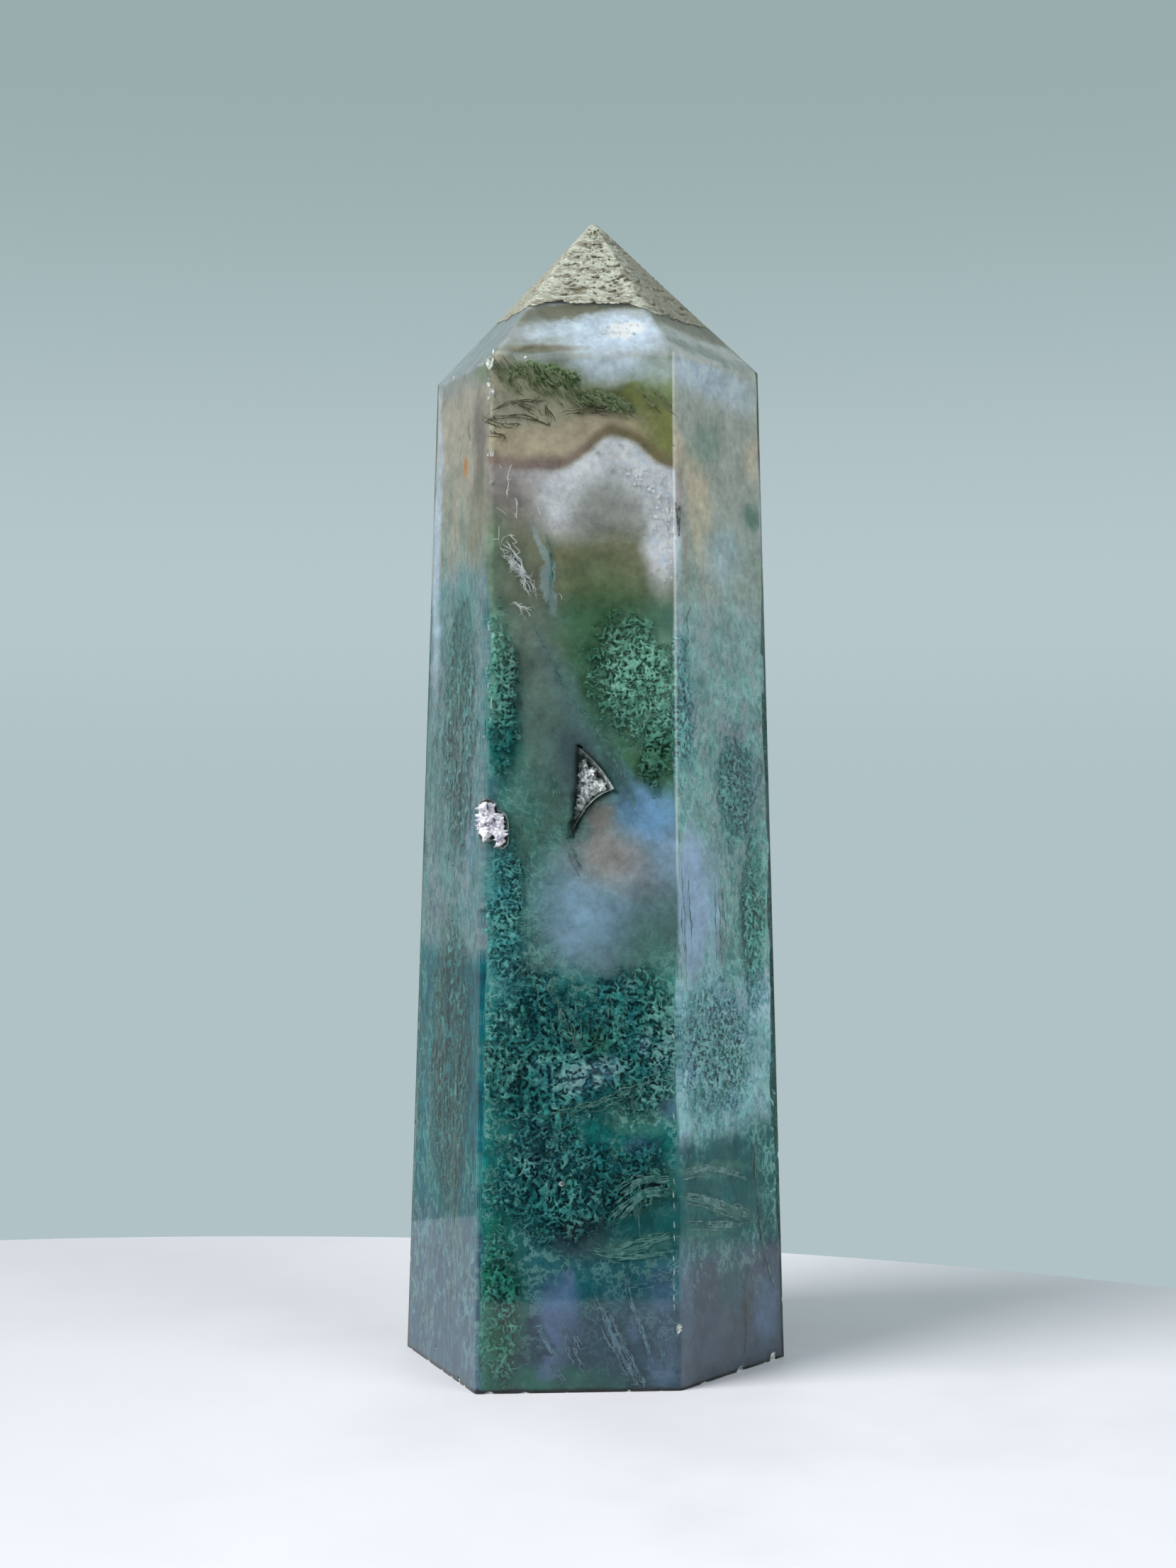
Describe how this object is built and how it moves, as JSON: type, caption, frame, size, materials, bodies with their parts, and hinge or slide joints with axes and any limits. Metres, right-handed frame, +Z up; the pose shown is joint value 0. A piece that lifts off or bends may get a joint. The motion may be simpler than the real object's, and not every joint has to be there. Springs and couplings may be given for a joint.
{
  "type": "moss agate tower",
  "caption": "Polished six-sided stone tower with a faceted point, a rough rock tip and two small crystal-lined pockets; stands on its flat base as an ornament.",
  "frame": {"origin": "on the flat base, under the middle of the stone's outline seen from above", "axes": "+Z up the shaft to the point; -Y towards the viewer, through the front facet, which is turned 3.8 degrees towards +X"},
  "size_m": [0.0334, 0.03, 0.1],
  "materials": {
    "agate": "polished, glossy, partly see-through moss agate with a rough pale rock tip",
    "grey_druse": "fine grey-beige sparkling quartz druse",
    "white_quartz": "white milky quartz grains, part broken, part polished"
  },
  "bodies": {
    "root": {"tower": "agate", "front_pocket_crystals": "grey_druse", "edge_pocket_crystals": "white_quartz"}
  },
  "joints": []
}
